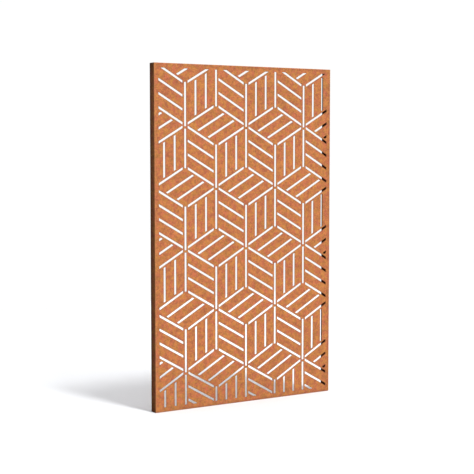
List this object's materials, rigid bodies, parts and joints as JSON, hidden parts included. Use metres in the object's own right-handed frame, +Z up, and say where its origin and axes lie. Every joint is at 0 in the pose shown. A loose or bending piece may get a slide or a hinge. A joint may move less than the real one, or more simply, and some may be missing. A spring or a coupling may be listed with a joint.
{
  "type": "corten steel screen panel",
  "caption": "Tall screen panel of rusted weathering steel, slotted in a stacked cubes pattern, with its edges folded back into a shallow tray that is open behind and has a lip down each side.",
  "frame": {"origin": "on the outer face of the bottom return, at the middle of the panel's width and depth", "axes": "+X along the panel's width, to the right seen from the front; +Y from the slotted front to the open back; +Z up the panel's height"},
  "size_m": [1.1, 0.05, 1.8],
  "materials": {
    "weathering_steel": "matt, even orange rust with fine mottling"
  },
  "bodies": {
    "root": {"screen_panel": "weathering_steel"}
  },
  "joints": []
}
